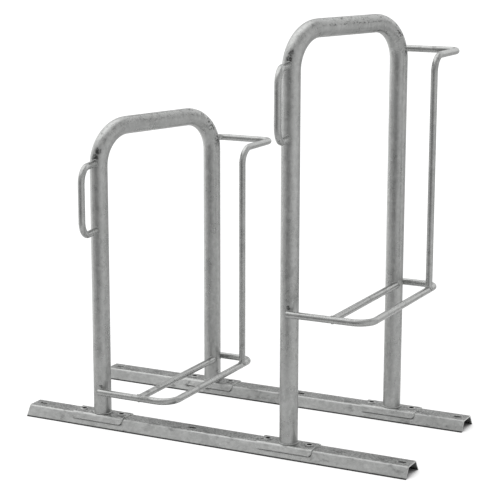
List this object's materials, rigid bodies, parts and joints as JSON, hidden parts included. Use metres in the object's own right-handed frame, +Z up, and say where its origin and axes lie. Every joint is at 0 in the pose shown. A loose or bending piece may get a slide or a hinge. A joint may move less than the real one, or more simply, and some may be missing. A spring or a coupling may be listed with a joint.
{
  "type": "floor bike rack",
  "caption": "Free-standing floor rack: low and high tube hoops on folded floor rails, each hoop with a bar cradle for a bicycle wheel and a loop for a lock.",
  "frame": {"origin": "on the floor, under the middle of the rack's outline", "axes": "+X along the two floor rails from the low hoop to the high hoop, +Y from the front rail to the rear rail, +Z up"},
  "size_m": [1, 0.6288, 0.991],
  "materials": {
    "rail_steel": "hot-dip galvanised folded sheet, dull grey with faint mottling",
    "tube_steel": "hot-dip galvanised round tube, satin grey with cloudy darker patches",
    "bar_steel": "hot-dip galvanised round bar, satin grey",
    "weld_metal": "galvanised over the weld beads, rough",
    "fixing_steel": "zinc-plated screws and nuts"
  },
  "bodies": {
    "root": {"front_rail": "rail_steel", "rear_rail": "rail_steel", "low_hoop_tube": "tube_steel", "low_wheel_cradle": "bar_steel", "low_inner_guide": "bar_steel", "low_wheel_retainer": "bar_steel", "low_lock_loop": "bar_steel", "low_bar_welds": "weld_metal", "low_foot_welds": "weld_metal", "low_front_saddle": "rail_steel", "low_front_screws": "fixing_steel", "low_front_nuts": "fixing_steel", "low_rear_saddle": "rail_steel", "low_rear_screws": "fixing_steel", "low_rear_nuts": "fixing_steel", "high_hoop_tube": "tube_steel", "high_wheel_cradle": "bar_steel", "high_inner_guide": "bar_steel", "high_wheel_retainer": "bar_steel", "high_lock_loop": "bar_steel", "high_bar_welds": "weld_metal", "high_foot_welds": "weld_metal", "high_front_saddle": "rail_steel", "high_front_screws": "fixing_steel", "high_front_nuts": "fixing_steel", "high_rear_saddle": "rail_steel", "high_rear_screws": "fixing_steel", "high_rear_nuts": "fixing_steel"}
  },
  "joints": []
}
